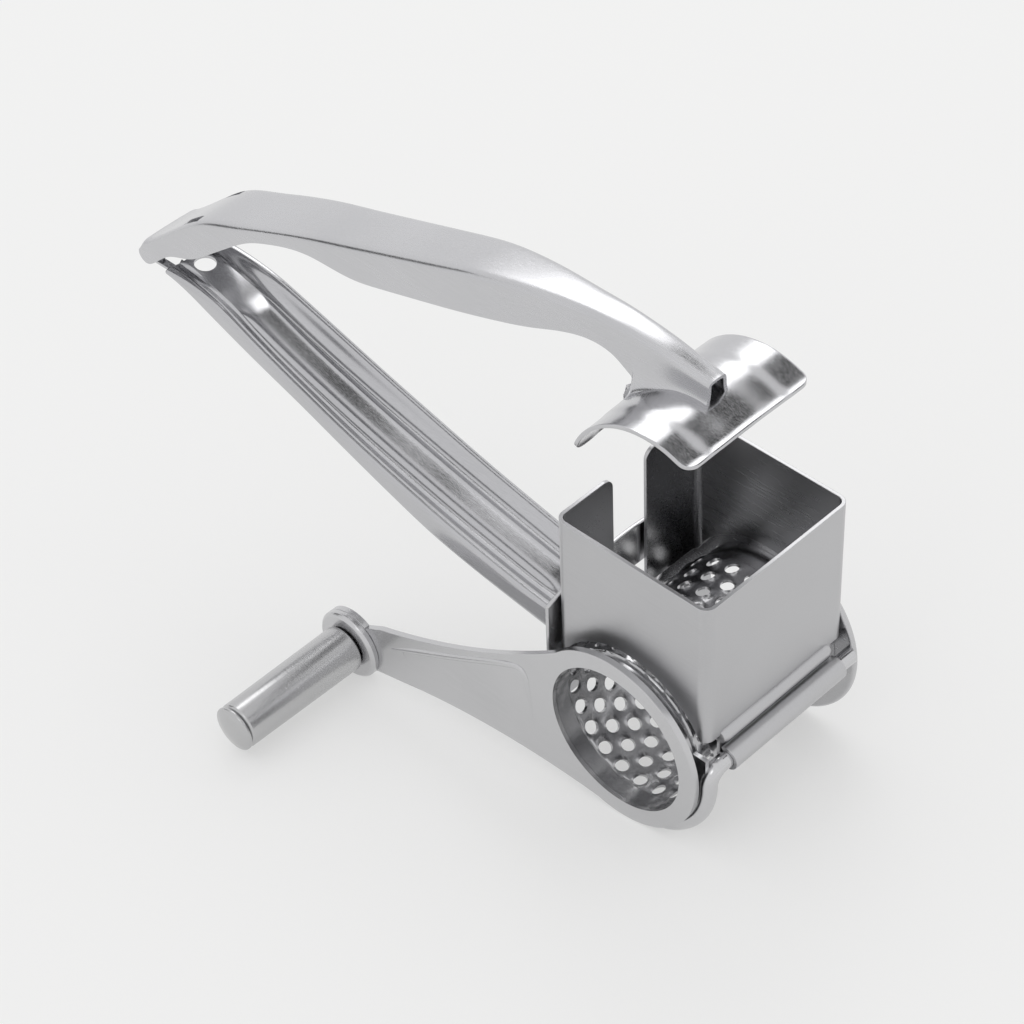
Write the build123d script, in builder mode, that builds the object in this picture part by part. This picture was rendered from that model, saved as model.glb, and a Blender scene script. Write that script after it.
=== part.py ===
"""Rotary cabbage shredder, all pressed stainless sheet.

Frame: millimetres, +Z up, +X from the handles' hinge towards the hopper's front, +Y away from the crank.
The origin is on the drum's axis, at the middle of the hopper's width.
The press arm is modelled raised, as it stands when the hopper is being filled.
"""

import os
from math import cos, radians, sin, sqrt, tan

from build123d import *

os.makedirs("parts", exist_ok=True)

# ---------------------------------------------------------------- driving dimensions (mm, degrees)
sheet = 1.0                 # pressed sheet of the handles, hopper and yoke
running_gap = 0.06          # radial clearance of every running fit

hopper_width = 50.0         # outside, crank side to far side
rim_height = 53.5           # hopper rim above the drum's axis
wall_foot = 10.0            # lower edge of the hopper's side walls above the drum's axis
hopper_corner = 3.0         # outer radius of the hopper's upright corners
slot_width = 11.6           # slot in the rear wall for the press arm's neck
slot_corner = 3.0           # rounding of the slot's two upper corners
arch_gap = 2.1              # between the drum and the arches in the side walls
bead_rise = 0.8             # rounded bead pressed out of the front wall, above the barrel
bead_radius = 2.9
bead_height = 8.9           # its middle above the drum's axis
bead_length = 38.0

barrel_length = 40.0        # curled hinge barrel under the front wall
bar_radius = 2.12           # cross bar in the barrel, and the cradle's rod
bar_height = 3.8            # cross bar above the drum's axis
barrel_mouth = 55.0         # opening angle of the curl

drum_radius = 21.8
drum_sheet = 0.8
journal_step = 0.8          # the drum's two ends are drawn in by this much
barrel_near = 25.4          # drum's full radius ends here on the crank side
barrel_far = 18.0           # and here on the far side
tooth_rows = 6
teeth_per_row = 14
tooth_pitch = 7.0           # between rows, along the axis
tooth_hole = 1.9            # radius of a tooth's hole
tooth_sides = 6
tooth_wall = 0.6            # metal round the hole
tooth_rise = 0.5            # cutting edge above the drum
tooth_tilt = 15.0           # lean of each tooth, which lifts its cutting edge
tooth_gap = 0.2             # between the cutting edges and the hopper's walls

cheek_sheet = 1.2           # cheek and disc that carry the drum
cheek_depth = 4.0           # their width in the drum's radial direction
cheek_top = 7.5             # cheek's upper ends above the drum's axis
disc_radius = 27.0          # round disc that carries the drum's far end
disc_gap = 0.2              # between the hopper's far wall and the disc
disc_rim = 0.9              # rounded edge round the disc
drum_reach = 0.5            # how far the drum stands out of the disc
rod_offset = 1.2            # cradle rod's axis outside the hopper's wall
rod_bend = 4.2              # bend between the cross bar and the side rod
rod_wrap = 62.0             # how far the side rod follows its cheek
yoke_gap = 0.7              # between the hopper's rear wall and the yoke
yoke_sheet = 1.2
yoke_top = 30.0             # crown of the yoke's arched upper edge
yoke_shoulder = 25.0        # its upper edge at the two ends
yoke_foot = 9.0             # its lower edge below the drum's axis
window_width = 26.0         # opening in the yoke above the handle
window_foot = 5.5
window_top = 17.0
window_round = 2.5
yoke_margin = 0.2           # how far the yoke reaches past the cheek

crank_sheet = 1.2
crank_rim = 0.5             # turned edge behind the crank's plate
crank_ring = 25.0           # outer radius of the crank's ring
crank_length = 97.0         # drum axis to grip axis
crank_angle = 198.0         # direction of the arm as it rests
crank_gap = 0.6             # between the cradle rod and the crank
crank_edge = 1.0            # width of the turned edge
arm_root = 11.5             # three places along the arm, from the drum's axis
arm_root_half = 21.9        # and the arm's half width there
arm_waist = 40.0
arm_waist_half = 13.4
arm_tip = 88.0
arm_tip_half = 7.6
panel_root = 38.5           # pressed three-cornered panel in the arm: its broad end
panel_tip = 83.0            # and its pointed end
panel_high = 11.0           # corners above and below the arm's middle line
panel_low = 5.5
panel_tip_up = 2.5
panel_round = 1.6
panel_depth = 0.5
panel_wall = 0.7
boss_radius = 9.8
boss_thickness = 2.2
boss_round = 0.8
grip_radius = 6.5
grip_taper = 0.25           # grip is slimmer by this much at its end
grip_length = 38.0
grip_gap = 0.3              # end play on both sides of the grip
grip_round = 0.7
spindle_radius = 3.0
cap_edge = 0.8
cap_dome = 2.2

handle_width = 20.0
floor_width = 13.0          # handle's sunk floor between its two edge beads
hinge_x = -185.5            # hinge of the two handles
hinge_z = 35.5
roll_radius = 2.2           # handle's rear end, rolled into the hinge bar
strap_width = 12.0          # part of the press arm that curls round the roll
side_gap = 0.2              # between the roll, the strap and the arm's sides
tail_reach = 7.5            # from the hinge to the handle's channel
crook_reach = 24.5          # to the end of its level tail
floor_reach = 47.5          # to the foot of the floor's steep part
bend_reach = 73.5           # to the bend in its back
bead_drop = 0.9             # bead's rear end below the hinge
floor_drop = 3.6            # floor below the hinge at the crook
floor_height = 22.4         # floor above the drum's axis at the foot of its steep part
bend_height = 18.2          # bead above the drum's axis at its bend
bead_front = 0.5            # bead at the yoke
floor_front = -2.4          # floor at the yoke
skirt_rear_reach = 11.5     # skirt's lower edge, from the hinge and above the drum's axis
skirt_rear_height = 34.0
skirt_crook_height = 26.5
skirt_mid_reach = 57.0
skirt_mid_height = 16.3
skirt_low_reach = 107.5
skirt_low_height = -2.2
skirt_front = -8.0          # skirt's lower edge at the yoke
handle_crease = 18.0        # radius of the bends along the handle
hang_hole = 3.0             # radius
hang_reach = 12.0           # from the hinge
rib_width = 6.0
rib_rise = 0.9
rib_rear_reach = 28.0
rib_front_reach = 139.0

arm_slope = 40.0            # press arm's rear ramp, from level, as it stands raised
arm_ramp = 32.0             # length of the ramp
arm_rise_reach = 60.5       # places along the arm's back, from the hinge and above the drum's axis
arm_rise_height = 73.4
arm_crown_reach = 120.5
arm_crown_height = 93.3
arm_top_reach = 160.5
arm_top_height = 98.9
arm_nose_reach = 189.5
arm_nose_height = 95.2
arm_crease = 10.0
arm_half = 9.9              # half widths, rear to front
arm_middle_half = 8.5
arm_shoulder_half = 8.2
neck_root_half = 4.6
neck_half = 3.9
arm_middle_reach = 100.0
arm_shoulder_reach = 130.0
neck_reach = 151.0
skirt_gap_reach = 9.5       # lower edge of the arm's sides, rear to front
skirt_gap_height = 41.0
arm_heel_reach = 18.5
arm_heel_height = 43.2
arm_palm_reach = 43.0
arm_palm_height = 62.6
arm_waist_reach = 62.5
arm_waist_height = 70.3
arm_belly_reach = 80.5
arm_belly_height = 69.6
arm_chest_reach = 130.5
arm_chest_height = 83.3
arm_throat_reach = 160.5
arm_throat_height = 89.6
arm_foot_reach = 167.0
arm_side_crease = 4.0
slit_reach = 13.5           # front ends of the two slits beside the strap
eye_wrap = 290.0            # how far the strap curls round the roll
ear_angle = 50.0            # where the round rear ends of the arm's sides stop, below level
arm_plan_round = 30.0

press_travel = 20.0         # the arm's angle above its closed place
press_gap = 0.9             # left between the teeth and the presser when closed
presser_width = 40.0
presser_rear = -54.0        # ends of the presser's curve, seen from the drum's axis when closed
presser_front = 41.0
presser_lip = 4.2           # flat lip along the front
presser_lip_drop = 9.0      # its slope when closed

# ---------------------------------------------------------------- sizes worked out from them
half_length = drum_radius + tooth_rise + tooth_gap + sheet
half_width = hopper_width / 2
hopper_length = 2 * half_length
arch_radius = drum_radius + arch_gap
journal_radius = drum_radius - journal_step
journal_bore = journal_radius - drum_sheet
barrel_radius = bar_radius + running_gap + sheet
bar_x = half_length - sheet + barrel_radius
rod_y = half_width + rod_offset
crank_back = rod_y + bar_radius + crank_gap
crank_face = crank_back + crank_rim + crank_sheet
crank_dir = Vector(cos(radians(crank_angle)), 0, sin(radians(crank_angle)))
grip_axis = crank_dir * crank_length
grip_start = crank_face + boss_thickness + grip_gap
yoke_front = -(half_length + yoke_gap)
yoke_back = yoke_front - yoke_sheet
hinge = Vector(hinge_x, 0, hinge_z)
eye_radius = roll_radius + running_gap + sheet
drum_end = crank_back + crank_rim
disc_front = half_width + disc_gap
disc_back = disc_front + cheek_sheet
drum_far_end = disc_back + drum_reach
tooth_lip = tooth_hole + tooth_wall
first_row = -(half_width - sheet - tooth_gap - tooth_lip)
grip_end = grip_start + grip_length
cap_seat = grip_axis - Vector(0, grip_end + grip_gap, 0)
cap_radius = grip_radius - grip_taper
press_radius = drum_radius + tooth_rise + press_gap
press_center = hinge + (Vector(0, 0, 0) - hinge).rotate(Axis.Y, -press_travel)
closed_dir = Vector(1, 0, 0).rotate(Axis.Y, -press_travel)
slope_dir = Vector(1, 0, 0).rotate(Axis.Y, -arm_slope)
slope_out = Vector(0, 0, 1).rotate(Axis.Y, -arm_slope)
eps = 0.01


# ---------------------------------------------------------------- hopper, one folded sheet
with BuildPart() as hopper_box:
    with BuildSketch(Plane.XY.offset(wall_foot)):
        RectangleRounded(hopper_length, hopper_width, hopper_corner)
        RectangleRounded(hopper_length - 2 * sheet, hopper_width - 2 * sheet, hopper_corner - sheet,
                         mode=Mode.SUBTRACT)
    extrude(amount=rim_height - wall_foot)
    # slot for the press arm's neck, open at the rim
    with BuildSketch(Plane.YZ.offset(-half_length - sheet)):
        with Locations((0, (rim_height + wall_foot) / 2)):
            Rectangle(slot_width, rim_height - wall_foot + 2)
    extrude(amount=3 * sheet, mode=Mode.SUBTRACT)
    slot_edges = hopper_box.edges().filter_by(Axis.X)
    slot_edges = slot_edges.filter_by_position(Axis.Z, rim_height - eps, rim_height + eps)
    slot_edges = slot_edges.filter_by_position(Axis.Y, -slot_width / 2 - eps, slot_width / 2 + eps)
    fillet(slot_edges, slot_corner)
    # arches over the drum in both side walls
    with BuildSketch(Plane.XZ):
        Circle(arch_radius)
    extrude(amount=half_width + sheet, both=True, mode=Mode.SUBTRACT)
    # stiffening bead across the foot of the front wall
    with BuildSketch(Plane.XZ):
        with Locations((half_length + bead_rise - bead_radius, bead_height)):
            Circle(bead_radius)
        with Locations((half_length + bead_radius - sheet, bead_height)):
            Rectangle(2 * bead_radius, 2 * bead_radius, mode=Mode.INTERSECT)
    extrude(amount=bead_length / 2, both=True)
    # front wall's tongue, curled round the cross bar
    with BuildSketch(Plane.XZ):
        with Locations((half_length - sheet / 2, (wall_foot + bar_height) / 2)):
            Rectangle(sheet, wall_foot - bar_height + 2 * eps)
        with Locations((bar_x, bar_height)):
            Circle(barrel_radius)
            Circle(barrel_radius - sheet, mode=Mode.SUBTRACT)
        with BuildLine():
            barrel_bore = barrel_radius - sheet
            Polyline((bar_x, bar_height),
                     (bar_x - barrel_bore, bar_height + barrel_bore * tan(radians(barrel_mouth))),
                     (bar_x - barrel_bore, bar_height),
                     close=True)
        make_face(mode=Mode.SUBTRACT)
    extrude(amount=barrel_length / 2, both=True)
hopper_box.part.label = "hopper_box"
export_step(hopper_box.part, "parts/hopper_box.step")


# ---------------------------------------------------------------- drum, with its teeth
with BuildPart() as drum_barrel:
    with BuildSketch(Plane.XY):
        with BuildLine():
            Polyline((journal_radius, -drum_end),
                     (journal_radius, -barrel_near),
                     (drum_radius, -barrel_near + journal_step),
                     (drum_radius, barrel_far),
                     (journal_radius, barrel_far + journal_step),
                     (journal_radius, drum_far_end),
                     (journal_bore, drum_far_end),
                     (journal_bore, barrel_far + journal_step),
                     (drum_radius - drum_sheet, barrel_far),
                     (drum_radius - drum_sheet, -barrel_near + journal_step),
                     (journal_bore, -barrel_near),
                     (journal_bore, -drum_end),
                     close=True)
        make_face()
    revolve(axis=Axis.Y)
    tooth_height = tooth_rise - tooth_lip * sin(radians(tooth_tilt))
    tooth_planes = []
    for row in range(tooth_rows):
        for tooth in range(teeth_per_row):
            angle = 360 / teeth_per_row * (tooth + 0.5 * (row % 2))
            out = Vector(sin(radians(angle)), 0, cos(radians(angle)))
            lean = Vector(sin(radians(angle + tooth_tilt)), 0, cos(radians(angle + tooth_tilt)))
            seat = out * (drum_radius + tooth_height) + Vector(0, first_row + row * tooth_pitch, 0)
            tooth_planes.append(Plane(origin=seat, x_dir=(0, 1, 0), z_dir=lean))
    with BuildSketch(*tooth_planes):
        RegularPolygon(tooth_lip, tooth_sides)
    extrude(amount=-(tooth_height + drum_sheet * 0.7))
    with BuildSketch(*tooth_planes):
        RegularPolygon(tooth_hole, tooth_sides)
    extrude(amount=-(tooth_height + 2.5 * drum_sheet), mode=Mode.SUBTRACT)
drum_barrel.part.label = "drum_barrel"
export_step(drum_barrel.part, "parts/drum_barrel.step")


# ---------------------------------------------------------------- crank: ring, tapered arm and its boss end
crank_plane = Plane(origin=(0, -crank_face, 0), x_dir=crank_dir, z_dir=(0, 1, 0))
crank_layers = (  # how far inside the outline, from and to which depth
    (0, 0, crank_sheet + crank_rim, Mode.ADD),
    (crank_edge, crank_sheet, crank_sheet + crank_rim, Mode.SUBTRACT),
)
with BuildPart() as crank_plate:
    for inset, start, end, mode in crank_layers:
        with BuildSketch(crank_plane.offset(start)):
            Circle(crank_ring - inset)
            with Locations((crank_length, 0)):
                Circle(boss_radius - inset)
            with BuildLine():
                upper = ThreePointArc((arm_root, arm_root_half - inset),
                                      (arm_waist, arm_waist_half - inset),
                                      (arm_tip, arm_tip_half - inset))
                lower = ThreePointArc((arm_root, inset - arm_root_half),
                                      (arm_waist, inset - arm_waist_half),
                                      (arm_tip, inset - arm_tip_half))
                Line(upper @ 0, lower @ 0)
                Line(upper @ 1, lower @ 1)
            make_face()
        extrude(amount=end - start, mode=mode)
    # panel pressed inwards, hollow in front and standing out behind
    for start, wall, mode in ((crank_sheet, panel_wall, Mode.ADD), (0, 0, Mode.SUBTRACT)):
        with BuildSketch(crank_plane.offset(start)):
            with BuildLine():
                FilletPolyline((panel_tip + wall, panel_tip_up),
                               (panel_root - wall, panel_high + wall),
                               (panel_root - wall, -panel_low - wall),
                               radius=panel_round + wall, close=True)
            make_face()
        extrude(amount=panel_depth, mode=mode)
    with BuildSketch(crank_plane):
        Circle(journal_bore)
        with Locations((crank_length, 0)):
            Circle(spindle_radius)
    extrude(amount=crank_sheet + crank_rim, mode=Mode.SUBTRACT)
crank_plate.part.label = "crank_plate"
export_step(crank_plate.part, "parts/crank_plate.step")


# ---------------------------------------------------------------- grip on the crank's end
grip_plane = Plane(origin=grip_axis - Vector(0, crank_face, 0), x_dir=(1, 0, 0), z_dir=(0, -1, 0))
with BuildPart() as grip_boss:
    with BuildSketch(grip_plane):
        Circle(boss_radius)
    extrude(amount=boss_thickness)
    chamfer(grip_boss.edges().sort_by(Axis.Y)[0], boss_round)
    with BuildSketch(grip_plane):
        Circle(spindle_radius)
    extrude(amount=boss_thickness, mode=Mode.SUBTRACT)
grip_boss.part.label = "grip_boss"
export_step(grip_boss.part, "parts/grip_boss.step")

with BuildPart() as grip_spindle:
    with BuildSketch(grip_plane.offset(-crank_sheet)):
        Circle(spindle_radius)
    extrude(amount=grip_end + grip_gap - crank_back - crank_rim)
grip_spindle.part.label = "grip_spindle"
export_step(grip_spindle.part, "parts/grip_spindle.step")

with BuildPart() as grip_sleeve:
    with BuildSketch(Plane(origin=grip_axis, x_dir=(1, 0, 0), z_dir=(0, 0, 1))):
        with BuildLine():
            Polyline((spindle_radius + running_gap, -grip_start),
                     (grip_radius, -grip_start),
                     (grip_radius - grip_taper, -grip_end),
                     (spindle_radius + running_gap, -grip_end),
                     close=True)
        make_face()
    revolve(axis=Axis(grip_axis, (0, 1, 0)))
    rims = grip_sleeve.edges().filter_by(GeomType.CIRCLE).sort_by(SortBy.RADIUS)[-2:]
    chamfer(rims, grip_round)
grip_sleeve.part.label = "grip_sleeve"
export_step(grip_sleeve.part, "parts/grip_sleeve.step")

with BuildPart() as grip_end_cap:
    dome_radius = (cap_radius ** 2 + (cap_dome - cap_edge) ** 2) / (2 * (cap_dome - cap_edge))
    dome_mid = cap_dome - dome_radius + sqrt(dome_radius ** 2 - cap_radius ** 2 / 4)
    with BuildSketch(Plane(origin=cap_seat, x_dir=(1, 0, 0), z_dir=(0, 0, 1))):
        with BuildLine():
            Polyline((0, -cap_dome), (0, 0), (cap_radius, 0), (cap_radius, -cap_edge))
            ThreePointArc((cap_radius, -cap_edge), (cap_radius / 2, -dome_mid), (0, -cap_dome))
        make_face()
    revolve(axis=Axis(cap_seat, (0, 1, 0)))
grip_end_cap.part.label = "grip_end_cap"
export_step(grip_end_cap.part, "parts/grip_end_cap.step")


# ---------------------------------------------------------------- cross bar, bent down into the near cheek's rod
wrap_height = bar_height - rod_bend
bend = [Vector(bar_x, -(rod_y - rod_bend + rod_bend * sin(radians(angle))),
               wrap_height + rod_bend * cos(radians(angle)))
        for angle in (90, 45, 0)]
wrap = [Vector(bar_x * cos(radians(angle)), -rod_y, wrap_height - bar_x * sin(radians(angle)))
        for angle in (rod_wrap, rod_wrap / 2, 0)]
with BuildPart() as hinge_bar:
    with BuildLine() as rod_path:
        ThreePointArc(*wrap)
        ThreePointArc(*bend)
        Line(bend[-1], (bar_x, disc_front, bar_height))
    rod_wire = rod_path.wire()
    with BuildSketch(Plane(origin=rod_wire @ 0, z_dir=rod_wire % 0)):
        Circle(bar_radius)
    sweep(path=rod_wire)
hinge_bar.part.label = "hinge_bar"
export_step(hinge_bar.part, "parts/hinge_bar.step")


# ---------------------------------------------------------------- cheek under the drum's near end, open at the top
cheek_bore = journal_radius + running_gap
cheek_outer = cheek_bore + cheek_depth
with BuildPart() as cradle_cheek_near:
    with BuildSketch(Plane.XZ.offset(rod_y)):
        with BuildLine():
            Polyline((cheek_outer, 0), (cheek_outer, cheek_top), (cheek_bore, cheek_top), (cheek_bore, 0))
            ThreePointArc((cheek_bore, 0), (0, -cheek_bore), (-cheek_bore, 0))
            Polyline((-cheek_bore, 0), (-cheek_bore, cheek_top), (-cheek_outer, cheek_top), (-cheek_outer, 0))
            ThreePointArc((-cheek_outer, 0), (0, -cheek_outer), (cheek_outer, 0))
        make_face()
        # flat rear side, against the yoke
        with Locations((yoke_front - cheek_outer / 2, 0)):
            Rectangle(cheek_outer, 3 * cheek_outer, mode=Mode.SUBTRACT)
    extrude(amount=cheek_sheet / 2, both=True)
    add(hinge_bar.part, mode=Mode.SUBTRACT)
cradle_cheek_near.part.label = "cradle_cheek_near"
export_step(cradle_cheek_near.part, "parts/cradle_cheek_near.step")


# ---------------------------------------------------------------- round disc that carries the drum's far end
with BuildPart() as cradle_disc_far:
    with BuildSketch(Plane.XY):
        with BuildLine():
            Line((cheek_bore, disc_front), (disc_radius - disc_rim, disc_front))
            ThreePointArc((disc_radius - disc_rim, disc_front), (disc_radius, disc_front + disc_rim),
                          (disc_radius - disc_rim, disc_front + 2 * disc_rim))
            Polyline((disc_radius - disc_rim, disc_front + 2 * disc_rim), (disc_radius - disc_rim, disc_back),
                     (cheek_bore, disc_back), (cheek_bore, disc_front))
        make_face()
    revolve(axis=Axis.Y)
    # flat side against the yoke's end
    with BuildSketch(Plane.XZ.offset(-disc_front)):
        with Locations((yoke_front - disc_radius / 2, 0)):
            Rectangle(disc_radius, 3 * disc_radius)
    extrude(amount=-2 * disc_radius, mode=Mode.SUBTRACT)
cradle_disc_far.part.label = "cradle_disc_far"
export_step(cradle_disc_far.part, "parts/cradle_disc_far.step")


# ---------------------------------------------------------------- yoke between the drum's carriers and the handle
yoke_half = rod_y + cheek_sheet / 2 + yoke_margin
with BuildPart() as rear_yoke:
    with BuildSketch(Plane.YZ.offset(yoke_back)):
        with BuildLine():
            Polyline((-yoke_half, yoke_shoulder), (-yoke_half, -yoke_foot), (yoke_half, -yoke_foot),
                     (yoke_half, yoke_shoulder))
            ThreePointArc((yoke_half, yoke_shoulder), (0, yoke_top), (-yoke_half, yoke_shoulder))
        make_face()
        with Locations((0, (window_foot + window_top) / 2)):
            RectangleRounded(window_width, window_top - window_foot, window_round, mode=Mode.SUBTRACT)
    extrude(amount=yoke_sheet)
rear_yoke.part.label = "rear_yoke"
export_step(rear_yoke.part, "parts/rear_yoke.step")


# ---------------------------------------------------------------- lower handle, one pressed channel
tail_x = hinge_x + tail_reach
crook_x = hinge_x + crook_reach
bend_x = hinge_x + bend_reach
handle_half = handle_width / 2
floor_half = floor_width / 2
tab_top = hinge_z - roll_radius + sheet
bead_line = [(tail_x, hinge_z - bead_drop), (crook_x, hinge_z), (bend_x, bend_height), (yoke_back, bead_front)]
floor_line = [(tail_x, tab_top), (crook_x, hinge_z - floor_drop), (hinge_x + floor_reach, floor_height),
              (yoke_back, floor_front)]
skirt_line = [(hinge_x + skirt_rear_reach, skirt_rear_height), (crook_x, skirt_crook_height),
              (hinge_x + skirt_mid_reach, skirt_mid_height), (hinge_x + skirt_low_reach, skirt_low_height),
              (yoke_back, skirt_front)]
under_bead = [(x, z - sheet) for x, z in bead_line]
under_floor = [(x, z - sheet) for x, z in floor_line]
deep_line = [(tail_x, -handle_width), (yoke_back, -handle_width)]
high_line = [(tail_x, hinge_z + handle_width), (yoke_back, hinge_z + handle_width)]
handle_slabs = (  # upper line, lower line, distance from the middle to the two sides
    (bead_line, skirt_line, handle_half, Mode.ADD),
    (floor_line, under_floor, floor_half + sheet, Mode.ADD),
    (high_line, floor_line, floor_half, Mode.SUBTRACT),
    (under_floor, deep_line, floor_half + sheet, Mode.SUBTRACT),
)
with BuildPart() as lower_handle:
    for upper_line, lower_line, reach, mode in handle_slabs:
        with BuildSketch(Plane.XZ.offset(-reach)):
            with BuildLine():
                upper, lower = (FilletPolyline(*line, radius=handle_crease) if len(line) > 2 else Polyline(*line)
                                for line in (upper_line, lower_line))
                Line(upper @ 0, lower @ 0)
                Line(upper @ 1, lower @ 1)
            make_face()
        extrude(amount=2 * reach, mode=mode)
    # space under each edge bead
    for side in (-1, 1):
        with BuildSketch(Plane.XZ.offset(side * (floor_half + sheet))):
            with BuildLine():
                upper = FilletPolyline(*under_bead, radius=handle_crease)
                lower = Polyline(*deep_line)
                Line(upper @ 0, lower @ 0)
                Line(upper @ 1, lower @ 1)
            make_face()
        extrude(amount=side * (handle_half - floor_half - 2 * sheet), mode=Mode.SUBTRACT)
    # stiffening rib along the floor
    with BuildSketch(Plane.XZ):
        with BuildLine():
            rib = FilletPolyline(*[(x, z + rib_rise) for x, z in floor_line], radius=handle_crease)
            base = FilletPolyline(*under_floor, radius=handle_crease)
            Line(rib @ 0, base @ 0)
            Line(rib @ 1, base @ 1)
        make_face()
        with Locations((hinge_x + (rib_rear_reach + rib_front_reach) / 2, 0)):
            Rectangle(rib_front_reach - rib_rear_reach, 4 * hinge_z, mode=Mode.INTERSECT)
    extrude(amount=rib_width / 2, both=True)
    # two tabs and the roll that the press arm turns on
    roll_half = arm_half - sheet - side_gap
    tab_start = strap_width / 2 + 2 * side_gap
    for side in (-1, 1):
        with BuildSketch(Plane.XZ.offset(side * tab_start)):
            with Locations((hinge_x + tail_reach / 2 + eps, tab_top - sheet / 2)):
                Rectangle(tail_reach + 2 * eps, sheet)
        extrude(amount=side * (roll_half - tab_start))
    with BuildSketch(Plane.XZ):
        with Locations((hinge_x, hinge_z)):
            Circle(roll_radius)
    extrude(amount=roll_half, both=True)
    # hole to hang it by
    hang_slope = (tab_top - hinge_z + floor_drop) / (crook_reach - tail_reach)
    hang_point = Vector(hinge_x + hang_reach, 0, tab_top - hang_slope * (hang_reach - tail_reach))
    hang_plane = Plane(origin=hang_point, x_dir=(1, 1, -hang_slope), z_dir=(hang_slope, 0, 1))
    with BuildSketch(hang_plane):
        Circle(hang_hole)
    extrude(amount=2 * sheet, both=True, mode=Mode.SUBTRACT)
lower_handle.part.label = "lower_handle"
export_step(lower_handle.part, "parts/lower_handle.step")


# ---------------------------------------------------------------- presser, drawn as it lies when closed
press_plane = Plane(origin=press_center, x_dir=closed_dir, z_dir=(0, -1, 0))
press_mid = (presser_front + presser_rear) / 2
with BuildPart() as presser_saddle:
    with BuildSketch(press_plane):
        with BuildLine():
            arcs = []
            for radius in (press_radius, press_radius + sheet):
                ends = [(radius * sin(radians(a)), radius * cos(radians(a)))
                        for a in (presser_rear, press_mid, presser_front)]
                arcs.append(ThreePointArc(*ends))
            lip = Vector(cos(radians(presser_lip_drop)), -sin(radians(presser_lip_drop))) * presser_lip
            Line(arcs[0] @ 0, arcs[1] @ 0)
            Polyline(arcs[0] @ 1, (arcs[0] @ 1) + lip, (arcs[1] @ 1) + lip, arcs[1] @ 1)
        make_face()
    extrude(amount=presser_width / 2, both=True)
presser_saddle.part.label = "presser_saddle"
export_step(presser_saddle.part, "parts/presser_saddle.step")


# ---------------------------------------------------------------- press arm, one sheet folded down on both sides
ramp_start = hinge + slope_out * eye_radius
ramp_end = ramp_start + slope_dir * arm_ramp
under_start = hinge + slope_out * (eye_radius - sheet)
nose_x = hinge_x + arm_nose_reach
ear_low = hinge + Vector(eye_radius, 0, 0).rotate(Axis.Y, ear_angle)
ear_back = hinge - slope_dir * eye_radius
ear_line = [(ear_low.X, ear_low.Z),
            (hinge_x + skirt_gap_reach, skirt_gap_height),
            (hinge_x + arm_heel_reach, arm_heel_height),
            (hinge_x + arm_palm_reach, arm_palm_height),
            (hinge_x + arm_waist_reach, arm_waist_height),
            (hinge_x + arm_belly_reach, arm_belly_height),
            (hinge_x + arm_chest_reach, arm_chest_height),
            (hinge_x + arm_throat_reach, arm_throat_height),
            (hinge_x + arm_foot_reach, press_center.Z),
            (nose_x, press_center.Z)]
arm_outline = [(hinge_x - 2 * eye_radius, arm_half), (hinge_x + crook_reach, arm_half),
               (hinge_x + arm_middle_reach, arm_middle_half), (hinge_x + arm_shoulder_reach, arm_shoulder_half),
               (hinge_x + neck_reach, neck_root_half), (nose_x, neck_half)]
with BuildPart() as arm_hollow:
    # side view of the space under the sheet
    with BuildSketch(Plane.XZ):
        with BuildLine():
            under = FilletPolyline((under_start.X, under_start.Z),
                                   (ramp_end.X - sheet * slope_out.X, ramp_end.Z - sheet * slope_out.Z),
                                   (hinge_x + arm_rise_reach, arm_rise_height - sheet),
                                   (hinge_x + arm_crown_reach, arm_crown_height - sheet), radius=arm_crease)
            ThreePointArc(under @ 1, (hinge_x + arm_top_reach, arm_top_height - sheet),
                          (nose_x + eps, arm_nose_height - sheet))
            Polyline((nose_x + eps, arm_nose_height - sheet), (nose_x + eps, 0), (under_start.X - arm_ramp, 0),
                     (under_start.X - arm_ramp * slope_dir.X, under_start.Z - arm_ramp * slope_dir.Z), under @ 0)
        make_face()
    extrude(amount=arm_half, both=True)
    with BuildSketch(Plane.XY):
        with BuildLine():
            inner = FilletPolyline(*[(x, y - sheet) for x, y in arm_outline], radius=arm_plan_round)
            mirrored = FilletPolyline(*[(x, sheet - y) for x, y in arm_outline], radius=arm_plan_round)
            Line(inner @ 0, mirrored @ 0)
            Line(inner @ 1, mirrored @ 1)
        make_face()
    extrude(amount=2 * arm_top_height, mode=Mode.INTERSECT)
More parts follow.
